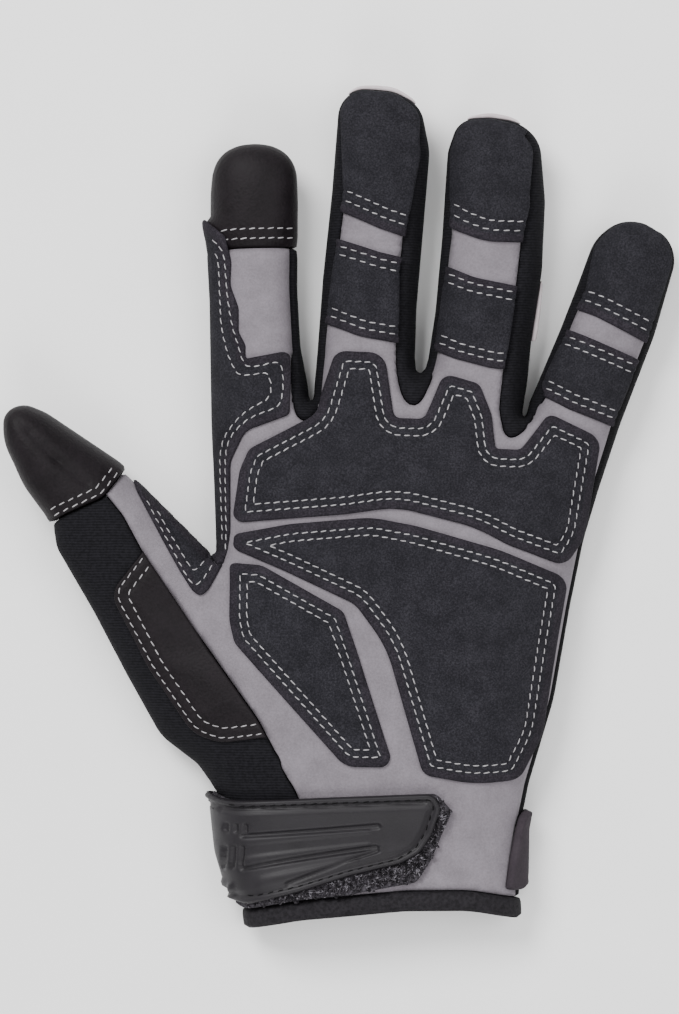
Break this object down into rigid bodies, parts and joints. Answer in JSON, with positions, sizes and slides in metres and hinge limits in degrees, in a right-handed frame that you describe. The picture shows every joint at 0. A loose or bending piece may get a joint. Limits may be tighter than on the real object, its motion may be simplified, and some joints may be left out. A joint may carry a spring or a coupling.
{
  "type": "mechanic glove",
  "caption": "Left-hand work glove lying palm up: grey suede palm with stitched charcoal grip pads, black knit finger sides, bound cuff and a hook-and-loop wrist strap.",
  "frame": {"origin": "centre of the bounding box in plan, on the surface the back of the glove rests on", "axes": "+Z out of the palm side, +Y towards the fingertips, +X from the thumb towards the little finger"},
  "size_m": [0.1964, 0.247, 0.0254],
  "materials": {
    "palm_suede": "matte grey synthetic suede",
    "back_fabric": "matte black stretch fabric",
    "black_knit": "matte black ribbed knit",
    "charcoal_grip": "charcoal synthetic leather with a fine speckle",
    "smooth_cap": "satin black synthetic leather",
    "binding_knit": "matte black elastic binding",
    "strap_pile": "dark fuzzy hook-and-loop pile",
    "strap_rubber": "satin dark grey moulded rubber",
    "tab_webbing": "matte dark grey-brown tab",
    "pale_rubber": "satin pale rubber"
  },
  "bodies": {
    "root": {"palm_panel": "palm_suede", "back_panel": "back_fabric", "thumb_panel": "black_knit", "fourchette_index_middle": "black_knit", "fourchette_middle_ring": "black_knit", "fourchette_ring_little": "black_knit", "knuckle_pad": "charcoal_grip", "heel_pad": "charcoal_grip", "thumb_base_pad": "charcoal_grip", "index_side_patch": "charcoal_grip", "crotch_patch": "charcoal_grip", "middle_tip_patch": "charcoal_grip", "middle_mid_patch": "charcoal_grip", "ring_tip_patch": "charcoal_grip", "ring_mid_patch": "charcoal_grip", "little_tip_patch": "charcoal_grip", "little_mid_patch": "charcoal_grip", "thumb_patch": "charcoal_grip", "thumb_cap": "smooth_cap", "index_cap": "smooth_cap", "cuff_binding": "binding_knit", "strap_loop": "strap_pile", "strap_cover": "strap_rubber", "cuff_tab": "tab_webbing", "middle_tip_guard": "pale_rubber", "ring_tip_guard": "pale_rubber", "ring_side_guard": "pale_rubber"}
  },
  "joints": []
}
